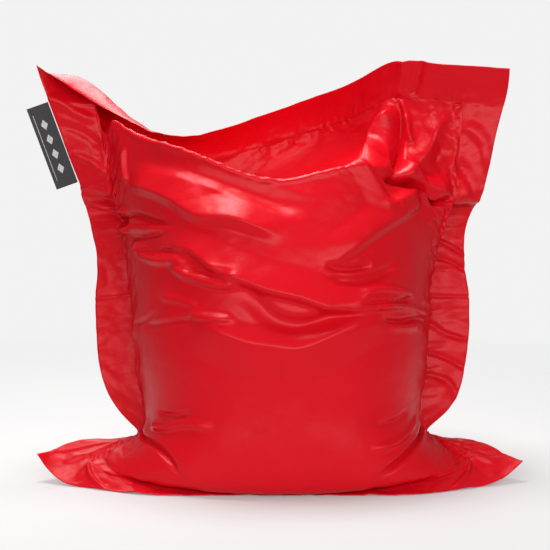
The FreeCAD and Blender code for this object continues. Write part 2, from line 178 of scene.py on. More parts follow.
# Folds of the front panel, as (crest, width above the line, width below it, height, [u, v, u, v, ...]).
# Lines run towards +u, or up the panel. A negative height is a crease.
FOLDS = [
    # lip of the seat
    ("sharp", 16, 22, 6, [-480, 1280, -400, 1200, -280, 1080, -140, 980, 0, 910, 120, 920, 250, 990]),
    # the broad bright fold below the lip
    ("sharp", 85, 28, 24, [
        -450, 1020, -340, 930, -290, 885, -235, 825, -190, 785, -110, 765, -70, 745, 30, 700,
    ]),
    ("soft", 60, 45, -12, [-420, 1080, -300, 1020, -150, 920, 0, 830, 100, 760]),
    # lens folds at the left side
    ("sharp", 24, 10, -15, [-540, 940, -395, 860, -330, 810, -270, 785]),
    ("sharp", 14, 24, 11, [-550, 910, -440, 850, -355, 805, -270, 775]),
    ("sharp", 18, 10, -10, [-470, 825, -420, 800, -350, 775, -290, 765]),
    ("sharp", 40, 14, 15, [-480, 800, -450, 780, -360, 705, -300, 680, -220, 665]),
    ("sharp", 18, 12, -10, [-440, 760, -350, 725, -250, 700]),
    ("sharp", 52, 14, 18, [-300, 680, -270, 650, -195, 605, -130, 585, -70, 590]),
    ("sharp", 16, 12, -9, [-250, 650, -170, 622, -100, 612]),
    # the long crease over the belly
    ("sharp", 75, 14, 22, [
        -350, 760, -300, 725, -230, 695, -165, 635, -90, 595, -30, 570, 55, 550, 105, 535, 200, 540,
        300, 570, 420, 605,
    ]),
    ("soft", 26, 40, -15, [-130, 585, -70, 560, -15, 510, 45, 495, 120, 510, 195, 535, 290, 560]),
    # top of the full lower body
    ("sharp", 45, 85, 22, [
        -260, 525, -150, 485, -75, 455, -15, 445, 40, 440, 95, 460, 155, 495, 220, 535, 330, 560,
    ]),
    ("sharp", 18, 10, 10, [-240, 532, -170, 515, -100, 505]),
    ("sharp", 12, 22, -9, [-420, 538, -340, 523, -250, 518, -170, 503]),
    ("sharp", 12, 16, -6, [-500, 563, -420, 548, -330, 558]),
    ("sharp", 12, 18, 7, [-330, 595, -270, 575, -200, 550]),
    # folds at the right side
    ("soft", 70, 26, 18, [90, 635, 135, 660, 220, 735, 330, 860, 430, 1050]),
    ("sharp", 16, 14, -14, [100, 637, 155, 632, 235, 655]),
    ("soft", 26, 20, -12, [100, 608, 170, 603, 250, 630, 320, 680]),
    ("sharp", 20, 12, 16, [175, 558, 220, 585, 285, 600, 395, 612]),
    ("sharp", 12, 12, -15, [185, 550, 265, 565, 385, 600]),
    ("sharp", 16, 12, 15, [225, 540, 300, 560, 400, 575, 500, 580]),
    ("sharp", 12, 14, -14, [235, 528, 300, 522, 400, 550, 490, 565]),
    ("sharp", 12, 20, 9, [270, 510, 350, 518, 430, 540]),
    ("sharp", 18, 12, 9, [420, 610, 500, 620, 580, 610]),
    # pleats from the gathered point in the top topstitch
    ("sharp", 50, 70, 40, [225, 1000, 265, 1140, 305, 1250, 365, 1360, 430, 1448]),
    ("sharp", 26, 24, -36, [315, 970, 345, 1120, 360, 1205, 405, 1360, 432, 1449]),
    ("sharp", 14, 18, 14, [415, 1260, 424, 1350, 434, 1449]),
    ("sharp", 44, 36, 19, [340, 1015, 440, 1225, 490, 1300, 515, 1355, 555, 1405, 598, 1449]),
    ("soft", 50, 50, -12, [400, 1160, 470, 1220, 520, 1270, 580, 1330]),
    # the crease where the upper right corner folds over the full sack
    ("sharp", 18, 20, -50, [
        285, 950, 315, 990, 360, 1030, 410, 1095, 435, 1110, 460, 1105, 540, 1150, 598, 1165,
    ]),
    ("soft", 60, 24, 24, [300, 1010, 360, 1075, 430, 1140, 500, 1165, 598, 1195]),
    ("sharp", 18, 50, 20, [280, 850, 315, 900, 375, 1010, 410, 1075, 500, 1105]),
    ("sharp", 60, 30, 16, [290, 830, 270, 905, 245, 955, 205, 1030]),
    # pinch in the left topstitch
    ("sharp", 18, 14, -24, [-599, 990, -550, 950, -470, 875]),
    ("sharp", 14, 20, 16, [-599, 960, -550, 920, -450, 830]),
    ("sharp", 18, 14, 14, [-599, 1020, -550, 990, -480, 930]),
    ("sharp", 12, 14, -10, [-599, 940, -530, 890, -440, 810]),
    ("soft", 18, 16, 12, [-445, 1010, -455, 1105, -440, 1165]),
    # corners of the base
    ("sharp", 16, 14, -18, [-598, 262, -500, 225, -345, 185, -255, 115]),
    ("soft", 18, 14, 10, [-450, 262, -360, 252, -255, 262, -180, 245]),
    ("soft", 12, 12, -7, [-400, 300, -320, 285, -250, 290]),
    ("sharp", 14, 16, -18, [260, 115, 355, 165, 450, 210, 598, 262]),
    ("soft", 14, 18, 9, [240, 195, 330, 210, 420, 250, 480, 290]),
    ("soft", 12, 12, -6, [260, 260, 330, 265, 410, 300]),
    ("sharp", 10, 8, 5, [-15, 405, 0, 388, 10, 370]),
]
# Folds that pass through both panels in the border, as above
BORDER_FOLDS = [
    ("sharp", 8, 8, 4, [-720, 702, -660, 700, -580, 698]),
    ("sharp", 10, 8, -5, [580, 700, 660, 702, 720, 700]),
    ("sharp", 20, 16, 10, [425, 1440, 428, 1490, 432, 1570]),
    ("sharp", 14, 16, -8, [460, 1440, 468, 1490, 480, 1570]),
    ("sharp", 22, 14, 5, [-720, 1205, -660, 1185, -580, 1160]),
    ("sharp", 12, 16, -5, [-720, 1180, -660, 1155, -580, 1125]),
    ("soft", 18, 18, 7, [-710, 1100, -660, 1080, -590, 1020]),
    ("soft", 20, 20, 6, [-700, 1470, -650, 1420, -600, 1390]),
    ("soft", 22, 18, -6, [-700, 1380, -650, 1360, -600, 1300]),
    ("soft", 18, 18, 6, [-700, 1300, -640, 1270, -600, 1220]),
    ("soft", 30, 22, 7, [590, 1400, 650, 1360, 700, 1250]),
    ("soft", 30, 22, -7, [590, 1300, 640, 1240, 690, 1150]),
    ("sharp", 16, 12, 8, [590, 930, 650, 900, 710, 860]),
    ("sharp", 16, 16, -8, [590, 850, 650, 840, 710, 800]),
    ("sharp", 16, 12, 8, [590, 620, 650, 560, 710, 540]),
    ("sharp", 14, 12, -8, [590, 500, 650, 470, 710, 420]),
    ("sharp", 14, 12, 8, [590, 420, 650, 400, 710, 330]),
    ("sharp", 16, 14, 10, [-600, 20, -540, -50, -490, -100]),
    ("sharp", 20, 14, 7, [-660, -55, -620, 30, -600, 160]),
    ("sharp", 12, 14, -5, [-680, -30, -650, 50, -620, 150]),
    ("sharp", 16, 14, 10, [480, -100, 530, -50, 600, 20]),
    ("sharp", 20, 14, 10, [600, 160, 620, 30, 660, -55]),
    ("sharp", 12, 14, -8, [620, 150, 650, 50, 680, -30]),
]
FOLD_STEP, FOLD_TAPER = 0.012, 0.22
WIDE_FLANK, WIDE_POWER, NARROW_POWER = 0.022, 1.15, 1.4  # a wide flank is nearly flat
# Rows of small puckers along the stitching in metres, as (layers, from (u, v), to (u, v), direction, how
# many, longest, highest), and the ranges they vary in
PUCKERS = [
    ((0,), (-0.1, SACK), (SIDE, SACK), (0, -1), 46, 0.05, 0.003),
    ((0, 1), (-0.1, SACK), (SIDE, SACK), (0, 1), 46, 0.05, 0.0028),
    ((0, 1), (-SIDE, SACK), (-0.1, SACK), (0, 1), 22, 0.05, 0.0022),
    ((1,), (-SIDE, SACK), (SIDE, SACK), (0, -1), 60, 0.06, 0.0028),
    ((0,), (-SIDE, 0.45), (-SIDE, 1.05), (1, 0), 26, 0.08, 0.0034),
    ((0, 1), (-SIDE, 0.1), (-SIDE, 1.35), (-1, 0), 26, 0.05, 0.0018),
    ((0,), (SIDE, 0.35), (SIDE, 1.4), (-1, 0), 44, 0.07, 0.0034),
    ((0, 1), (SIDE, 0.1), (SIDE, 1.4), (1, 0), 40, 0.06, 0.0024),
    ((1,), (-SIDE, 0.1), (-SIDE, 1.4), (1, 0), 50, 0.08, 0.0034),
    ((1,), (SIDE, 0.1), (SIDE, 1.4), (-1, 0), 50, 0.08, 0.0034),
    ((0,), (-SIDE, 0.06), (-SIDE, 0.3), (1, -0.3), 14, 0.11, 0.004),
    ((0,), (SIDE, 0.06), (SIDE, 0.3), (-1, -0.3), 14, 0.11, 0.004),
    ((0, 1), (-SIDE, 0), (-0.3, 0), (0, -1), 12, 0.06, 0.0022),
    ((0, 1), (0.3, 0), (SIDE, 0), (0, -1), 12, 0.06, 0.0022),
    ((0, 1), (-SIDE, 0), (-SIDE, 0.2), (-1, 0), 9, 0.07, 0.0026),
    ((0, 1), (SIDE, 0), (SIDE, 0.2), (1, 0), 9, 0.07, 0.0026),
]
PUCKER_SEED, PUCKER_LENGTH, PUCKER_LEAN, PUCKER_BEND = 5, (0.35, 1.0), 0.45, 0.1
PUCKER_HALF, PUCKER_RISE, PUCKER_SIGNS, PUCKER_ROOT = (0.004, 0.009), (0.3, 1.0), [1.0, -0.8], 0.004
# Crumpling: size and height of the facets, their tilt and step, and their strength at each part
FACETS = ((0.07, 0.0085), (0.03, 0.0034))
FACET_TILT, FACET_STEP, FACET_SEEDS = 0.35, 0.25, (31, 47)
CRUMPLE_FRONT, CRUMPLE_UPPER, CRUMPLE_BACK, CRUMPLE_BORDER = 0.1, 0.1, 0.35, 0.4
CRUMPLE_EAR, CRUMPLE_END, SIDE_WIDE, END_WIDE, SEAM_CLEAR = 0.38, 0.8, 0.13, 0.08, 0.012

# Lights as (name, place, what it is aimed at, size, watts)
LIGHTS = [
    ("overhead", (-0.4, 0.1, 3.2), (0, 0, 0.6), (1.6, 0.7), 74),
    ("behind", (-0.6, 2.4, 2.6), (0, 0, 0.8), (2.6, 1.2), 45),
    ("front", (0.5, -4.6, 1.8), (0, 0, 0.5), (7.5, 1.7), 190),
]
WORLD_GREY, WORLD_SEEN, WORLD_LIT = 0.89, 1, 0.26
CAMERA_AIM, CAMERA_RISE, CAMERA_AWAY = (0, 0, 0.56), 5, 4  # degrees above the level, metres away
CAMERA_LENS, CAMERA_SHIFT = 99.2, (-0.009, -0.038)


def natural(s, y):
    """A natural cubic spline through values y at places s."""
    s, y = np.asarray(s, float), np.asarray(y, float)
    n, h = len(s), np.diff(s)
    a, r = np.eye(n), np.zeros_like(y)
    slope = np.diff(y, axis=0) / h.reshape((-1,) + (1,) * (y.ndim - 1))
    for i in range(1, n - 1):
        a[i, i - 1:i + 2] = h[i - 1], 2 * (h[i - 1] + h[i]), h[i]
        r[i] = 6 * (slope[i] - slope[i - 1])
    m = np.linalg.solve(a, r.reshape(n, -1)).reshape(y.shape)

    def at(x):
        x = np.asarray(x, float)
        i = np.clip(np.searchsorted(s, x) - 1, 0, n - 2)
        wide = x.shape + (1,) * (y.ndim - 1)
        g = h[i].reshape(wide)
        p, q = ((s[i + 1] - x) / h[i]).reshape(wide), ((x - s[i]) / h[i]).reshape(wide)
        return p * y[i] + q * y[i + 1] + ((p**3 - p) * m[i] + (q**3 - q) * m[i + 1]) * g**2 / 6

    return at


def through(knots):
    """The spline through knots in metres, whose first number is the place."""
    knots = np.array(knots, float)
    return natural(knots[:, 0], knots[:, 1:])


def metres(*tables):
    return [np.array(table) / 1000 for table in tables]


def line(table):
    """The spline through a table in millimetres."""
    return through(*metres(table))


def smoothstep(x):
    x = np.clip(x, 0, 1)
    return x * x * (3 - 2 * x)


def blend(x, start, length):
    """0 before the start and 1 beyond the length, changing softly between."""
    return smoothstep((x - start) / length)


def run_along(path):
    """How far along a path, or a row of paths, each point lies."""
    steps = np.linalg.norm(np.diff(path, axis=0), axis=-1)
    return np.concatenate([np.zeros((1,) + steps.shape[1:]), np.cumsum(steps, axis=0)])


def read_along(at, run, values):
    """Values known along a run, read at other places of it."""
    return np.stack([np.interp(at, run, values[:, k]) for k in range(values.shape[1])], -1)


def unit(vectors):
    return vectors / (np.linalg.norm(vectors, axis=-1, keepdims=True) + 1e-12)


def flat_places(nx):
    """Places u and v of a grid with nx square cells across."""
    ny = round(LENGTH / (WIDTH / nx))
    return np.linspace(-WIDTH / 2, WIDTH / 2, nx + 1), np.linspace(-BORDER, LENGTH - BORDER, ny + 1)


def sculpt(nx):
    """The bag's overall shape: both panels as a grid of points."""
    u, v = flat_places(nx)
    cell = WIDTH / nx
    nb, ny = round(BORDER / cell), len(v) - 1
    in_u, in_v = slice(nb, nx + 1 - nb), slice(nb, ny + 1 - nb)
    ui, v = u[in_u], v[in_v]
    shape = np.zeros((2, nx + 1, ny + 1, 3))
    left, right = line(LEFT_SEAM)(v), line(RIGHT_SEAM)(v)
    steps = np.linspace(-1, 1, 401)
    a = np.abs(steps)[:, None]
    top_share = blend(v, *TOP_BLEND)
    power = 2 / (ROUND_LOW + (ROUND_TOP - ROUND_LOW) * top_share)
    across = np.sin(a * np.pi / 2) ** power
    reach = np.clip(np.cos(a * np.pi / 2), 0, 1) ** power
    for layer, centre in enumerate((FRONT, BACK)):
        middle = line(centre)(v)[None]
        seam = np.where((steps < 0)[:, None, None], left[None], right[None])
        row = np.empty((len(steps), len(v), 3))
        row[..., 0] = middle[..., 0] + (seam[..., 0] - middle[..., 0]) * across
        row[..., 1:] = seam[..., 1:] + (middle[..., 1:] - seam[..., 1:]) * reach[..., None]
        for axis, share in ((2, LEAN), (1, TURN)):
            row[..., axis] += share * top_share * row[..., 0] * (1 - across**2)
        run = run_along(row)
        run /= run[-1]
        even = np.linspace(0, 1, len(ui))
        for j in range(len(v)):
            shape[layer, in_u, nb + j] = read_along(even, run[:, j], row[:, j])
    top = line(TOP_SEAM)(ui)
    off = top - shape[1, in_u, ny - nb]
    shape[1, in_u, in_v] += off[:, None] * blend(v, *BACK_BLEND)[None, :, None]

    # The seat: one spline up to the lip and another behind it, which keeps it crisp
    ridge, hollow = line(RIDGE)(ui), line(HOLLOW)(ui)
    lofted = np.empty((len(ui), len(v), 3))
    fixed = [round(x / cell) for x in SEAT_KNOTS]
    for i in range(len(ui)):
        knots, lip = [(v[j], *shape[0, nb + i, nb + j]) for j in fixed], ridge[i]
        below, behind = through(knots + [lip])(v), through([lip, hollow[i], (SACK, *top[i])])(v)
        lofted[i] = np.where((v < lip[0])[:, None], below, behind)
    shape[0, in_u, in_v] += (lofted - shape[0, in_u, in_v]) * blend(v, *SEAT_BLEND)[None, :, None]
    for i, side in ((nb, left), (nx - nb, right)):
        shape[:, i, in_v] = side

    # The border: straight out to the side and bottom hems, curling over at the top
    left_hem, right_hem = line(LEFT_HEM)(v), line(RIGHT_HEM)(v)
    shares = [(k + 1) / nb for k in range(nb)]
    for k, f in enumerate(shares):
        shape[:, nb - 1 - k, in_v] = left + (left_hem - left) * f
        shape[:, nx - nb + 1 + k, in_v] = right + (right_hem - right) * f
    top, bottom = shape[0, :, ny - nb].copy(), shape[0, :, nb].copy()
    mid, edge, bottom_edge = line(TOP_MID)(u), line(TOP_EDGE)(u), line(BOTTOM_EDGE)(u)
    for k, f in enumerate(shares):
        curl = top * (1 - f) * (1 - 2 * f) + mid * 4 * f * (1 - f) + edge * f * (2 * f - 1)
        shape[:, :, ny - nb + k + 1] = curl
        shape[:, :, nb - k - 1] = bottom + (bottom_edge - bottom) * f
    return shape


def outward(points):
    """Outward normals of both panels."""
    du, dv = np.gradient(points, axis=1), np.gradient(points, axis=2)
    n = unit(np.cross(du, dv))
    n[1] *= -1
    return n


def crest(kind, d, wide):
    """A fold's profile: d is 0 at its line and 1 at its foot."""
    d = np.clip(np.abs(d), 0, 1)
    if kind == "soft":
        return (1 - d * d) ** 2
    return (1 - d) ** np.where(wide > WIDE_FLANK, WIDE_POWER, NARROW_POWER)


def add_fold(height, u, v, kind, above, below, rise, places):
    """Add one fold to the height map of one panel."""
    places = np.reshape(places, (-1, 2))
    run = run_along(places)
    count = max(2, int(run[-1] / FOLD_STEP))
    path = natural(run, places)(np.linspace(0, run[-1], count + 1))
    reach = max(above, below)
    iu = np.flatnonzero((u > path[:, 0].min() - reach) & (u < path[:, 0].max() + reach))
    iv = np.flatnonzero((v > path[:, 1].min() - reach) & (v < path[:, 1].max() + reach))
    if not len(iu) or not len(iv):
        return
    window = (slice(iu[0], iu[-1] + 1), slice(iv[0], iv[-1] + 1))
    spot = np.stack(np.meshgrid(u[window[0]], v[window[1]], indexing="ij"), -1)
    best = np.full(spot.shape[:2], np.inf)
    side, along = np.zeros_like(best), np.zeros_like(best)
    for k, (a, b) in enumerate(zip(path, path[1:])):
        step = b - a
        share = np.clip(((spot - a) @ step) / (step @ step), 0, 1)
        gap = spot - a - share[..., None] * step
        d = np.hypot(gap[..., 0], gap[..., 1])
        near = d < best
        best = np.where(near, d, best)
        side = np.where(near, step[0] * gap[..., 1] - step[1] * gap[..., 0], side)
        along = np.where(near, (k + share) / count, along)
    taper = smoothstep(along / FOLD_TAPER) * smoothstep((1 - along) / FOLD_TAPER)
    wide = np.where(side > 0, above, below)
    height[window] += rise * taper * crest(kind, best / wide, wide)


def facets(u, v, cell, seed):
    """Flat facets between sharp creases and ridges, as in crumpled cloth; about -0.5 to 0.5."""
    rng = np.random.default_rng(seed)
    place = np.stack(np.meshgrid((u - u.min()) / cell + 2, (v - v.min()) / cell + 2, indexing="ij"), -1)
    home = np.floor(place).astype(int)
    size = tuple(home.max(axis=(0, 1)) + 3)
    total = np.zeros(place.shape[:2])
    for turned in (1, -1):
        spots, tilt = rng.uniform(0, 1, size + (2,)), rng.normal(0, FACET_TILT, size + (2,))
        level = rng.uniform(-FACET_STEP, FACET_STEP, size)
        highest = np.full(place.shape[:2], -np.inf)
        for i, j in np.ndindex(5, 5):
            a, b = home[..., 0] + i - 2, home[..., 1] + j - 2
            gap = place - np.stack([a, b], -1) - spots[a, b]
            flat = level[a, b] + (tilt[a, b] * gap).sum(-1) - (gap**2).sum(-1)
            highest = np.maximum(highest, flat)
        total += turned * highest
    return total - total.mean()


def crumple_height(u, v):
    """Fine crumpling of both panels, strongest by the side seams and in the upper right corner."""
    across, up = u[:, None], v[None]
    side, end = SIDE - np.abs(across), np.minimum(up, SACK - up)
    seam = np.minimum(side, end)
    ear = CRUMPLE_EAR * blend(across, 0.15, 0.2) * blend(up, 0.95, 0.2)
    near_side = np.exp(-((side / SIDE_WIDE) ** 2))
    near = np.maximum(near_side, CRUMPLE_END * np.exp(-((end / END_WIDE) ** 2)))
    upper = CRUMPLE_FRONT + CRUMPLE_UPPER * blend(up, 0.45, 0.15)
    front, back = np.maximum(np.maximum(upper, near), ear), np.maximum(CRUMPLE_BACK, near)
    rim, border = smoothstep(np.abs(seam) / SEAM_CLEAR), seam < 0
    share = np.where(border, CRUMPLE_BORDER, np.stack([front, back])) * rim
    height = np.empty_like(share)
    for layer, seed in enumerate(FACET_SEEDS):
        field = sum(tall * facets(u, v, cell, seed + k) for k, (cell, tall) in enumerate(FACETS))
        height[layer] = share[layer] * field
    height[1][border] = -height[0][border]  # the border's two plies move together
    return height


def fold_height(u, v):
    """How far each point of the two panels is pushed out by folds."""
    rng = np.random.default_rng(PUCKER_SEED)
    height = np.zeros((2, len(u), len(v)))
    for kind, *numbers in FOLDS:
        add_fold(height[0], u, v, kind, *metres(*numbers))
    for kind, *numbers in BORDER_FOLDS:
        above, below, rise, places = metres(*numbers)
        for layer, turned in ((0, rise), (1, -rise)):
            add_fold(height[layer], u, v, kind, above, below, turned, places)
    for layers, start, end, way, count, longest, highest in PUCKERS:
        start, end, way = (np.array(p, float) for p in (start, end, way))
        way /= np.linalg.norm(way)
        seam = (end - start) / np.linalg.norm(end - start)
        for k in range(count):
            foot = start + (end - start) * (k + rng.uniform(0, 1)) / count
            length = longest * rng.uniform(*PUCKER_LENGTH) ** 1.5
            lean = seam * rng.uniform(-PUCKER_LEAN, PUCKER_LEAN)
            half = rng.uniform(*PUCKER_HALF)
            rise = highest * rng.uniform(*PUCKER_RISE) * rng.choice(PUCKER_SIGNS)
            tip = foot + (way + lean) * length
            bent = (foot + tip) / 2 + seam * length * rng.uniform(-PUCKER_BEND, PUCKER_BEND)
            places = [foot - way * PUCKER_ROOT, bent, tip]
            for layer in layers:
                turned = rise if layer == layers[0] else -rise
                add_fold(height[layer], u, v, "soft", half, half, turned, places)
    return height


def gather_map(u, v):
    """How much of the spare cloth is kept at each place of a panel."""
    seam = np.minimum(SIDE - np.abs(u), np.minimum(v, SACK - v))
    near = GATHER_SEAM * np.exp(-((seam / GATHER_WIDE) ** 2))
    ear = GATHER_EAR * (blend(u, 0.2, 0.2) * blend(v, 0.95, 0.2))
    return np.where(seam > 0, np.maximum(near, ear), GATHER_BORDER)


def bend(x):
    """How far each point lies off the middle of its neighbours."""
    out = np.zeros_like(x)
    out[:, 1:-1, 1:-1] = (
        (x[:, 2:, 1:-1] + x[:, :-2, 1:-1] + x[:, 1:-1, 2:] + x[:, 1:-1, :-2]) / 4 - x[:, 1:-1, 1:-1]
    )
    for k in (0, -1):
        out[:, k, 1:-1] = (x[:, k, 2:] + x[:, k, :-2]) / 2 - x[:, k, 1:-1]
        out[:, 1:-1, k] = (x[:, 2:, k] + x[:, :-2, k]) / 2 - x[:, 1:-1, k]
    return out


def relax(points, goal, steps, seed, roughness):
    """Settle both panels as cloth: held to the goal by the beads, stiff along the weave, free to buckle."""
    nx, ny = points.shape[1] - 1, points.shape[2] - 1
    cell = WIDTH / nx
    nb = round(BORDER / cell)
    i, j = np.meshgrid(np.arange(nx + 1), np.arange(ny + 1), indexing="ij")
    u, v = (i - nx / 2) * cell, (j - nb) * cell
    border = (i <= nb) | (i >= nx - nb) | (j <= nb) | (j >= ny - nb)
    seam = border & (i >= nb) & (i <= nx - nb) & (j >= nb) & (j <= ny - nb)
    hem = (i == 0) | (i == nx) | (j == 0) | (j == ny)
    belly = smoothstep((BELLY_TOP - v) / BELLY_FADE) * smoothstep((SIDE - np.abs(u)) / BELLY_SIDE)
    hold = np.full((2, nx + 1, ny + 1), HOLD_SACK)
    hold[0] += HOLD_BELLY * belly
    hold[:, border] = HOLD_BORDER
    hold[:, hem] = HOLD_HEM
    hold[:, seam] = HOLD_SEAM
    hold[:, np.isin(i, (nb, nx - nb)) & (np.abs(v - WAIST) < 1.5 * cell)] = HOLD_WAIST
    hold = hold[..., None]
    gather = gather_map(u, v)

    def ties(a, b, flat, strength):
        length = np.linalg.norm(goal[b] - goal[a], axis=-1)
        spare = np.clip(flat - length, 0, SPARE_LIMIT * flat)
        return a, b, length + spare * (gather[a[1:]] + gather[b[1:]])[None] / 2, strength

    every, batches = slice(None), []
    for p in (0, 1):
        n, m = (nx - p) // 2 * 2, (ny - p) // 2 * 2
        near_u, far_u = slice(p, p + n, 2), slice(p + 1, p + 1 + n, 2)
        near_v, far_v = slice(p, p + m, 2), slice(p + 1, p + 1 + m, 2)
        low, high = slice(0, ny), slice(1, ny + 1)
        batches += [
            ties((every, near_u, every), (every, far_u, every), cell, WEAVE_TIE),
            ties((every, every, near_v), (every, every, far_v), cell, WEAVE_TIE),
            ties((every, near_u, low), (every, far_u, high), cell * 2**0.5, BIAS_TIE),
            ties((every, near_u, high), (every, far_u, low), cell * 2**0.5, BIAS_TIE),
        ]

    free = np.where(seam, 0.0, 1.0)[None, :, :, None]
    stiff = np.where(border, STIFF_BORDER, STIFF_SACK)[None, :, :, None] * free
    goal_bend = bend(goal)
    rng = np.random.default_rng(seed)
    points = points + rng.normal(0, roughness, points.shape)
    before = points.copy()
    for _ in range(steps):
        speed = (points - before) * DRAG
        fast = np.linalg.norm(speed, axis=-1, keepdims=True)
        speed *= np.minimum(1, 0.5 * cell / (fast + 1e-12))
        before = points.copy()
        points = points + speed
        points += (goal - points) * hold
        for _ in range(TIE_PASSES):
            for a, b, rest, (tension, push) in batches:
                one, two = points[a], points[b]
                gap = two - one
                length = np.sqrt(np.einsum("...i,...i->...", gap, gap)) + 1e-12
                pull = (length - rest) / length
                pull *= np.where(pull > 0, tension / 2, push / 2)
                gap *= pull[..., None]
                one += gap
                two -= gap
            welded = (points[0][border] + points[1][border]) / 2
            points[0][border] = points[1][border] = welded
            points[..., 2] = np.maximum(points[..., 2], FLOOR)
        points -= bend((bend(points) - goal_bend) * free) * stiff
    return points


def refine(points, u, v, new_u, new_v):
    """The same surface read at other places of the flat panel."""
    across = natural(u, np.moveaxis(points, 1, 0))(new_u)
    up = natural(v, np.moveaxis(across, 2, 0))(new_v)
    return np.moveaxis(up, (0, 1), (2, 1))


def lay_flat_for_zip(points, u, v):
    """Lay the back panel straight and flat where the zip is sewn in."""
    middle, along, across, out = ZIP
    du, dv = (u - ZIP_U)[:, None, None], (ZIP_V - v)[None, :, None]
    flat = middle + along * du + across * dv + out * ZIP_LIFT
    reach = np.where(dv > 0, FLAT_BELOW, FLAT_ABOVE)
    share = smoothstep((FLAT_ALONG - abs(du)) / FLAT_FADE)
    points[1] += (flat - points[1]) * share * smoothstep((reach - abs(dv)) / (reach - FLAT_FULL))


def straighten_label_edge(points, u, v):
    """Bring the left hem to the straight line that the label is sewn along."""
    middle, along, across, _ = LABEL
    line_v = (LABEL_LOW + LABEL_HIGH) / 2
    edge = middle + along * (v - line_v)[:, None] - across * HEM_TO_HINGE
    share = blend(v, LABEL_LOW - EDGE_FADE, EDGE_FADE) * smoothstep((LABEL_HIGH + EDGE_FADE - v) / EDGE_FADE)
    shift = (edge - points[0, 0]) * share[:, None]
    points += shift * np.clip(1 - (u + WIDTH / 2) / BORDER, 0, 1)[None, :, None, None]


def fine_places():
    """Places of the finished grid, closer together beside topstitch, hem and zip."""
    u, v = set(), set()
    for places, low, high in ((u, -WIDTH / 2, WIDTH / 2), (v, -BORDER, LENGTH - BORDER)):
        even = np.arange(round(low / GRID), round(high / GRID) + 1) * GRID
        beside = [x + d for x in (low + BORDER, high - BORDER) for d in BESIDE_SEAM]
        ends = [x for d in BESIDE_HEM for x in (low + d, high - d)]
        places.update(np.round([*even, *beside, *ends], 6))
    v -= {1.365, 1.38}  # too close to the slot's edges
    v.update((ZIP_V - SLOT_HALF, ZIP_V + SLOT_HALF))
    u.update((round(ZIP_U - ZIP_HALF, 6), round(ZIP_U + ZIP_HALF, 6)))
    return np.array(sorted(u)), np.array(sorted(v))


def settled():
    """The finished cloth and its places u and v: sculpted, settled coarse then fine, and folded."""
    (nx, *how), finer = LEVELS[0], LEVELS[1:]
    points, (u, v) = sculpt(nx), flat_places(nx)
    points = relax(points, sculpt(nx), *how)
    for nx, *how in finer:
        new_u, new_v = flat_places(nx)
        points = relax(refine(points, u, v, new_u, new_v), sculpt(nx), *how)
        u, v = new_u, new_v
    new_u, new_v = fine_places()
    points = refine(points, u, v, new_u, new_v)
    u, v = new_u, new_v
    lay_flat_for_zip(points, u, v)
    straighten_label_edge(points, u, v)
    height = fold_height(u, v) + crumple_height(u, v)
    along, across = (CALM_ALONG - abs(u - ZIP_U)) / CALM_FADE, (CALM_ACROSS - abs(v - ZIP_V)) / CALM_EDGE
    height[1] *= 1 - smoothstep(along)[:, None] * smoothstep(across)[None]
    points = points + outward(points) * height[..., None]
    inside = (np.abs(u)[:, None] < SIDE) & ((v > 0) & (v < SACK))[None]
    points = np.where(inside[None, ..., None], points, points.mean(axis=0)[None])
    points[..., 2] = np.maximum(points[..., 2], FLOOR)
    return points, u, v


def outer_height(u, v):
    """Height of the outer face above the settled surface."""
    side = np.abs(np.abs(u) - SIDE)[:, None] + ((v < 0) | (v > SACK))[None]
    end = np.minimum(np.abs(v), np.abs(v - SACK))[None] + (np.abs(u) > SIDE)[:, None]
    to_seam = np.minimum(side, end)
    to_hem = np.minimum((WIDTH / 2 - np.abs(u))[:, None], np.minimum(v + BORDER, LENGTH - BORDER - v)[None])
    roll = HEM_ROLL * np.exp(-(((to_hem - HEM_AT) / HEM_WIDE) ** 2))
    height = PLY_OUTSIDE + roll - GROOVE * np.exp(-((to_seam / GROOVE_WIDE) ** 2))
    height = np.where(to_hem < 1e-6, PLY_INSIDE + PLY_RIM, height)
    return np.where((to_hem > 1e-6) & (to_hem < HEM_ROUND), height * 0.7, height)


def mesh_object(name, verts, faces, uv=None):
    """A smooth mesh, with its flat coordinates as a UV map if given."""
    mesh = bpy.data.meshes.new(name)
    mesh.from_pydata(np.asarray(verts).tolist(), [], np.asarray(faces).tolist())
    if uv is not None:
        layer = mesh.uv_layers.new(name="flat")
        index = np.empty(len(mesh.loops), int)
        mesh.loops.foreach_get("vertex_index", index)
        layer.data.foreach_set("uv", np.asarray(uv)[index].ravel())
    mesh.polygons.foreach_set("use_smooth", np.full(len(mesh.polygons), True))
    mesh.update()
    piece = bpy.data.objects.new(name, mesh)
    bpy.context.scene.collection.objects.link(piece)
    return piece


def joined(name, parts):
    """One mesh of several parts, each given as vertices and faces."""
    starts = np.cumsum([0] + [len(verts) for verts, _ in parts])
    faces = [faces + start for (_, faces), start in zip(parts, starts)]
    return mesh_object(name, np.concatenate([verts for verts, _ in parts]), np.concatenate(faces))


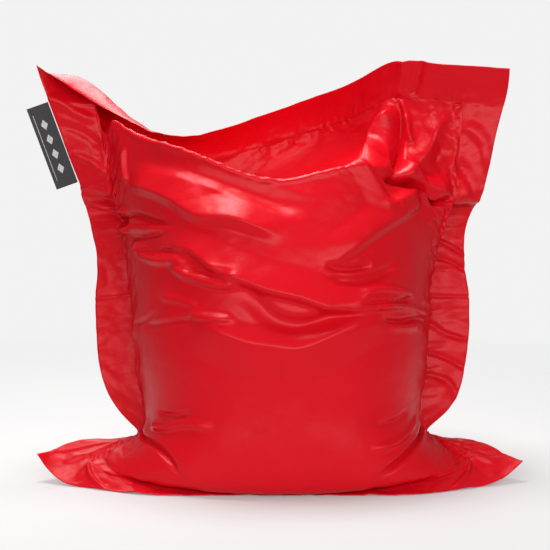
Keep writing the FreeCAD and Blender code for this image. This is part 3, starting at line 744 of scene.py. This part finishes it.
def thin_sheet(name, outer, inner, u, v, present, flip):
    """A closed thin sheet between two grids, with a rim round its edge and any slot."""
    count = len(u) * len(v)
    index = np.arange(count).reshape(len(u), len(v))
    top = np.stack([index[:-1, :-1], index[1:, :-1], index[1:, 1:], index[:-1, 1:]], -1)[present]
    top = top[:, ::-1] if flip else top
    edges = np.concatenate([top[:, [k, (k + 1) % 4]] for k in range(4)]).tolist()
    known = set(map(tuple, edges))
    rim = np.array([(b, a, a + count, b + count) for a, b in edges if (b, a) not in known])
    faces = np.concatenate([top, top[:, ::-1] + count, rim])
    verts = np.concatenate([outer.reshape(-1, 3), inner.reshape(-1, 3)])
    flat = np.stack(np.meshgrid(u, v, indexing="ij"), -1).reshape(-1, 2)
    used, faces = np.unique(faces, return_inverse=True)
    return mesh_object(name, verts[used], faces.reshape(-1, 4), np.tile(flat, (2, 1))[used])


def stitches(path, normals, pitch, length, radius):
    """Capsules of thread along a path, as vertices and faces."""
    run = run_along(path)
    at = np.arange(pitch / 2, run[-1] - pitch / 2, pitch)
    centre, up = read_along(at, run, path), read_along(at, run, normals)
    axis = unit(read_along(at + length / 2, run, path) - read_along(at - length / 2, run, path))
    side = unit(np.cross(axis, up))
    up = np.cross(side, axis)
    verts = []
    for place, wide in STITCH_RINGS:
        rise = radius * (STITCH_RISE - STITCH_SINK * (2 * place) ** 2)
        for k in range(SPOKES):
            turn = 2 * math.pi * k / SPOKES
            ring = side * (radius * wide * math.cos(turn)) + up * (radius * wide * math.sin(turn) + rise)
            verts.append(centre + axis * length * place + ring)
    verts = np.stack(verts, 1)
    last = (len(STITCH_RINGS) - 1) * SPOKES
    edges = [(r + k, r + (k + 1) % SPOKES) for r in range(0, last, SPOKES) for k in range(SPOKES)]
    faces = [(a, b, b + SPOKES, a + SPOKES) for a, b in edges]
    for c in (range(SPOKES)[::-1], range(last, last + SPOKES)):
        faces += [(c[0], c[1], c[2], c[3]), (c[0], c[3], c[4], c[5])]
    offset = np.arange(len(at))[:, None, None] * verts.shape[1]
    return verts.reshape(-1, 3), (np.array(faces)[None] + offset).reshape(-1, 4)


def tube(path, radius):
    """A wire along a path with closed ends, as vertices and faces. No wire here runs along the zip's line."""
    ahead = unit(np.gradient(path, axis=0))
    side = unit(np.cross(ahead, ZIP[1]))
    up = np.cross(side, ahead)
    turn = 2 * np.pi * np.arange(SPOKES) / SPOKES
    ring = side[:, None] * np.cos(turn)[None, :, None] + up[:, None] * np.sin(turn)[None, :, None]
    verts = (path[:, None] + radius * ring).reshape(-1, 3)
    last = (len(path) - 1) * SPOKES
    a = np.arange(last).reshape(-1, SPOKES)
    b = np.roll(a, -1, axis=1)
    faces = np.stack([b, a, a + SPOKES, b + SPOKES], -1).reshape(-1, 4)
    caps = [(0, 1, 2, 3), (0, 3, 4, 5), (3, 2, 1, 0), (5, 4, 3, 0)]
    return verts, np.concatenate([faces, np.array(caps) + [[0], [0], [last], [last]]])


def zip_place(along, across, out):
    """A point in the zip's own frame."""
    middle, a, c, o = ZIP
    return middle + a * along + c * across + o * out


def zip_stitches(along, across):
    """A straight row of stitches on the cloth round the zip."""
    places = zip(*np.broadcast_arrays(along, across))
    path = np.stack([zip_place(a, c, ZIP_LIFT + PLY_OUTSIDE) for a, c in places])
    return stitches(path, np.tile(ZIP[3], (len(path), 1)), *ZIP_STITCH)


def label_place(reach, row, out):
    """A point in the label's own frame, with the label's slight wave."""
    middle, a, c, o = LABEL
    wave = LABEL_WAVE * blend(reach, 0.01, 0.05) * math.sin(row * WAVE_TURNS + WAVE_START)
    return middle + a * row + c * reach + o * (out + wave)


def label_grid():
    """The middle of the label's folded ply as a grid of points, and its flat places along and across."""
    straight, bend_at = (LABEL_ROOT, LABEL_REACH / 2), LABEL_REACH - LABEL_BEND
    turn = np.linspace(0, math.pi, 9)[1:-1]
    path = [(reach, 1) for reach in (*straight, bend_at)]
    path += [(LABEL_REACH - LABEL_BEND * (1 - math.sin(t)), math.cos(t)) for t in turn]
    path += [(reach, -1) for reach in (bend_at, *straight[::-1])]
    run = run_along(np.array(path) * (1, LABEL_BEND))
    along, rows = np.linspace(0, run[-1], LABEL_STEPS), np.linspace(-LABEL_HALF, LABEL_HALF, LABEL_ROWS)
    path = read_along(along, run, np.array(path))
    points = [[label_place(reach, row, side * LABEL_BEND) for row in rows] for reach, side in path]
    return np.array(points), along, rows


def mark_thread(reach, low, high):
    """One raised thread of the label's pattern."""
    rows = np.linspace(low, high, 12)
    path = np.stack([label_place(reach, row, LABEL_BEND + LABEL_PLY / 2) for row in rows])
    return tube(path, MARK_THREAD / 2)


def node_maker(name):
    """A new material, its link function, its main shader and a maker of nodes."""
    material = bpy.data.materials.new(name)
    material.use_nodes = True
    tree = material.node_tree

    def make(kind, **values):
        node = tree.nodes.new(kind)
        for key, value in values.items():
            if hasattr(node, key):
                setattr(node, key, value)
            else:
                node.inputs[key.replace("_", " ")].default_value = value
        return node

    return material, tree.links.new, tree.nodes["Principled BSDF"], make


def weave_height(link, make, pitch, source="UV"):
    """The height of a plain weave: threads passing over and under each other."""
    apart, both = make("ShaderNodeSeparateXYZ"), make("ShaderNodeMath", operation="MULTIPLY")
    link(make("ShaderNodeTexCoord").outputs[source], apart.inputs[0])
    for axis in range(2):
        scaled = make("ShaderNodeMath", operation="MULTIPLY")
        link(apart.outputs[axis], scaled.inputs[0])
        scaled.inputs[1].default_value = math.pi / pitch
        wave = make("ShaderNodeMath", operation="SINE")
        link(scaled.outputs[0], wave.inputs[0])
        link(wave.outputs[0], both.inputs[axis])
    return both.outputs[0]


def nylon():
    """Coated red nylon: two close reds, a faint crumple and a fine weave."""
    material, link, shader, make = node_maker("nylon")
    place = make("ShaderNodeTexCoord")
    crumple = make("ShaderNodeTexNoise", Scale=46.0, Detail=5.0, Roughness=0.6, Distortion=1.2)
    link(place.outputs["UV"], crumple.inputs["Vector"])
    soft = make("ShaderNodeBump", Strength=0.3, Distance=0.0016)
    link(crumple.outputs["Fac"], soft.inputs["Height"])
    weave = make("ShaderNodeBump", Strength=0.25, Distance=0.00012)
    link(weave_height(link, make, 0.0009), weave.inputs["Height"])
    link(soft.outputs[0], weave.inputs["Normal"])
    link(weave.outputs[0], shader.inputs["Normal"])
    tone = make("ShaderNodeTexNoise", Scale=9.0, Detail=3.0)
    link(place.outputs["UV"], tone.inputs["Vector"])
    ramp = make("ShaderNodeValToRGB")
    ramp.color_ramp.elements[0].color = (0.62, 0.002, 0.009, 1)
    ramp.color_ramp.elements[1].color = (0.7, 0.003, 0.012, 1)
    link(tone.outputs["Fac"], ramp.inputs[0])
    link(ramp.outputs[0], shader.inputs["Base Color"])
    shader.inputs["Roughness"].default_value = 0.31
    shader.inputs["Specular IOR Level"].default_value = 0.30
    shader.inputs["Specular Tint"].default_value = (1, 0.6, 0.62, 1)
    return material


def plain(name, colour, roughness, specular, pitch=None, metallic=0.0, strength=0.35):
    """A plain finish with either a fine weave or a faint grain."""
    material, link, shader, make = node_maker(name)
    shader.inputs["Base Color"].default_value = (*colour, 1)
    shader.inputs["Roughness"].default_value = roughness
    shader.inputs["Metallic"].default_value = metallic
    shader.inputs["Specular IOR Level"].default_value = specular
    bump = make("ShaderNodeBump", Strength=strength, Distance=0.0002)
    if pitch:
        link(weave_height(link, make, pitch, "Object"), bump.inputs["Height"])
    else:
        grain = make("ShaderNodeTexNoise", Scale=900.0, Detail=3.0)
        link(make("ShaderNodeTexCoord").outputs["Object"], grain.inputs["Vector"])
        link(grain.outputs["Fac"], bump.inputs["Height"])
    link(bump.outputs[0], shader.inputs["Normal"])
    return material


def dress(piece, material):
    """Give a piece one material in place of any it has."""
    piece.data.materials.clear()
    piece.data.materials.append(material)


def area_light(name, place, aim, size, power):
    data = bpy.data.lights.new(name, "AREA")
    data.shape, data.size, data.size_y, data.energy = "RECTANGLE", *size, power
    lamp = bpy.data.objects.new(name, data)
    bpy.context.scene.collection.objects.link(lamp)
    lamp.location = place
    lamp.rotation_euler = (Vector(aim) - Vector(place)).to_track_quat("-Z", "Y").to_euler()


# Covers of the sack
points, grid_u, grid_v = settled()
normals, outside = outward(points), outer_height(grid_u, grid_v)
whole = np.ones((len(grid_u) - 1, len(grid_v) - 1), bool)
middle_u, middle_v = (grid_u[1:] + grid_u[:-1]) / 2, (grid_v[1:] + grid_v[:-1]) / 2
slot = (abs(middle_u - ZIP_U) < ZIP_HALF)[:, None] & (abs(middle_v - ZIP_V) < SLOT_HALF)[None]
outer, inner = points + normals * outside[..., None], points + normals * PLY_INSIDE
front_cover = thin_sheet("front_cover", outer[0], inner[0], grid_u, grid_v, whole, False)
back_cover = thin_sheet("back_cover", outer[1], inner[1], grid_u, grid_v, whole & ~slot, True)
red = nylon()
for piece, nodes in ((front_cover, ("front_panel", "bean_fill")), (back_cover, ("back_panel",))):
    dress(piece, red)
    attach(piece, "sack")
    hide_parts(*nodes)

# Thread of the topstitch round the sack, on both faces
left, right = (int(np.argmin(abs(grid_u - at))) for at in (-SIDE, SIDE))
low, high = (int(np.argmin(abs(grid_v - at))) for at in (0, SACK))
sides = [(i, slice(low, high + 1)) for i in (left, right)]
sides += [(slice(left, right + 1), j) for j in (low, high)]
rows = [stitches(outer[layer][side], normals[layer][side], *TOPSTITCH) for layer in (0, 1) for side in sides]
border_thread = joined("border_thread", rows)
thread_red = plain("thread", (0.3, 0.003, 0.008), 0.5, 0.3)
dress(border_thread, thread_red)
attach(border_thread, "sack")
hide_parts("border_topstitch")

# Side label: woven tape folded double, with a plain row of raised lozenges and a double line
ply, label_u, label_v = label_grid()
lift = unit(np.cross(np.gradient(ply, axis=0), np.gradient(ply, axis=1))) * LABEL_PLY / 2
whole = np.ones((len(label_u) - 1, len(label_v) - 1), bool)
label = thin_sheet("label", ply + lift, ply - lift, label_u, label_v, whole, False)
dress(label, plain("label_weave", (0.055, 0.055, 0.058), 0.75, 0.3, pitch=0.0007, strength=0.8))
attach(label, "side_label")
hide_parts("side_label")

marks = []
for middle in LOZENGES:
    for reach in np.arange(-LOZENGE_WIDE, LOZENGE_WIDE, MARK_THREAD):
        half = LOZENGE_TALL * (1 - abs(reach) / LOZENGE_WIDE)
        if half > MARK_THREAD:
            marks.append(mark_thread(MARK_REACH + reach, middle - half, middle + half))
marks += [mark_thread(MARK_LINE + off, -LINE_HALF, LINE_HALF) for off in (0, MARK_THREAD)]
label_marks = joined("label_marks", marks)
dress(label_marks, plain("mark_thread", (0.72, 0.72, 0.72), 0.6, 0.3, strength=0.6))
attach(label_marks, "side_label")

# Zip: two interlocking coils, the thread along its tapes, and finishes for its other parts
coil_red = plain("coil_red", (0.3, 0.004, 0.01), 0.35, 0.5)
turns = np.arange(0, 2 * COIL_HALF / COIL_PITCH, 1 / COIL_STEPS)
for name, side, start in (("zip_coil_upper", -1, 0), ("zip_coil_lower", 1, math.pi)):
    angle = 2 * math.pi * turns + start
    across = side * (COIL_OFF + COIL_WIDE * np.cos(angle))
    out = COIL_RISE + COIL_TALL * np.sin(angle)
    coil = np.stack([zip_place(*place) for place in zip(-COIL_HALF + COIL_PITCH * turns, across, out)])
    teeth = joined(name + "_teeth", [tube(coil, COIL_WIRE)])
    dress(teeth, coil_red)
    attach(teeth, "sack")
    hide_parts(name)
sewn, end = np.linspace(-ZIP_SEWN, ZIP_SEWN, 200), np.linspace(-ZIP_ROWS[0], ZIP_ROWS[0], 40)
rows = [zip_stitches(sewn, side * off) for side in (-1, 1) for off in ZIP_ROWS]
rows += [zip_stitches(at, end) for at in (-ZIP_SEWN, ZIP_SEWN)]
zip_thread = joined("zip_thread", rows)
dress(zip_thread, thread_red)
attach(zip_thread, "sack")
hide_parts("zip_topstitch")

tape_weave = plain("tape_weave", (0.42, 0.004, 0.012), 0.7, 0.25, pitch=0.0008, strength=0.8)
painted = plain("painted_metal", (0.32, 0.004, 0.01), 0.32, 0.5, strength=0.2)
bare = plain("bare_metal", (0.62, 0.62, 0.63), 0.3, 0.5, metallic=1.0, strength=0.15)
for node, material in (
    ("zip_tape_upper", tape_weave), ("zip_tape_lower", tape_weave), ("zip_slider", painted),
    ("zip_stop_open", bare), ("zip_stop_closed", bare),
):
    dress(bpy.data.objects[node], material)

# Stage: a pale floor that fades out, an even grey surround, lights and camera
bpy.ops.mesh.primitive_circle_add(vertices=96, radius=6, fill_type="NGON")
floor = bpy.context.object
floor.name = "floor"
material, link, shader, make = node_maker("pale_floor")
shader.inputs["Base Color"].default_value = (0.8, 0.8, 0.8, 1)
shader.inputs["Roughness"].default_value = 0.9
shader.inputs["Specular IOR Level"].default_value = 0.1
place = make("ShaderNodeNewGeometry")
far = make("ShaderNodeVectorMath", operation="LENGTH")
link(place.outputs["Position"], far.inputs[0])
fade = make("ShaderNodeMapRange", From_Min=0.5, From_Max=2.6, To_Min=0.8, To_Max=0.0)
link(far.outputs["Value"], fade.inputs["Value"])
link(fade.outputs[0], shader.inputs["Alpha"])
dress(floor, material)

world = bpy.data.worlds.new("studio")
bpy.context.scene.world = world
world.use_nodes = True
tree = world.node_tree
seen, lit = tree.nodes["Background"], tree.nodes.new("ShaderNodeBackground")
for shader, strength in ((seen, WORLD_SEEN), (lit, WORLD_LIT)):
    shader.inputs[0].default_value = (WORLD_GREY, WORLD_GREY, WORLD_GREY, 1)
    shader.inputs[1].default_value = strength
ray, mix = tree.nodes.new("ShaderNodeLightPath"), tree.nodes.new("ShaderNodeMixShader")
for k, output in enumerate((ray.outputs["Is Camera Ray"], lit.outputs[0], seen.outputs[0])):
    tree.links.new(output, mix.inputs[k])
tree.links.new(mix.outputs[0], tree.nodes["World Output"].inputs[0])
for light in LIGHTS:
    area_light(*light)

camera = bpy.data.objects.new("camera", bpy.data.cameras.new("camera"))
bpy.context.scene.collection.objects.link(camera)
camera.data.sensor_width = 36
camera.data.lens = CAMERA_LENS
camera.data.shift_x, camera.data.shift_y = CAMERA_SHIFT
rise = math.radians(CAMERA_RISE)
back = Vector((0, -math.cos(rise), math.sin(rise)))
camera.location = Vector(CAMERA_AIM) + back * CAMERA_AWAY
camera.rotation_euler = (-back).to_track_quat("-Z", "Y").to_euler()
bpy.context.scene.camera = camera
bpy.context.scene.view_settings.view_transform = "Standard"
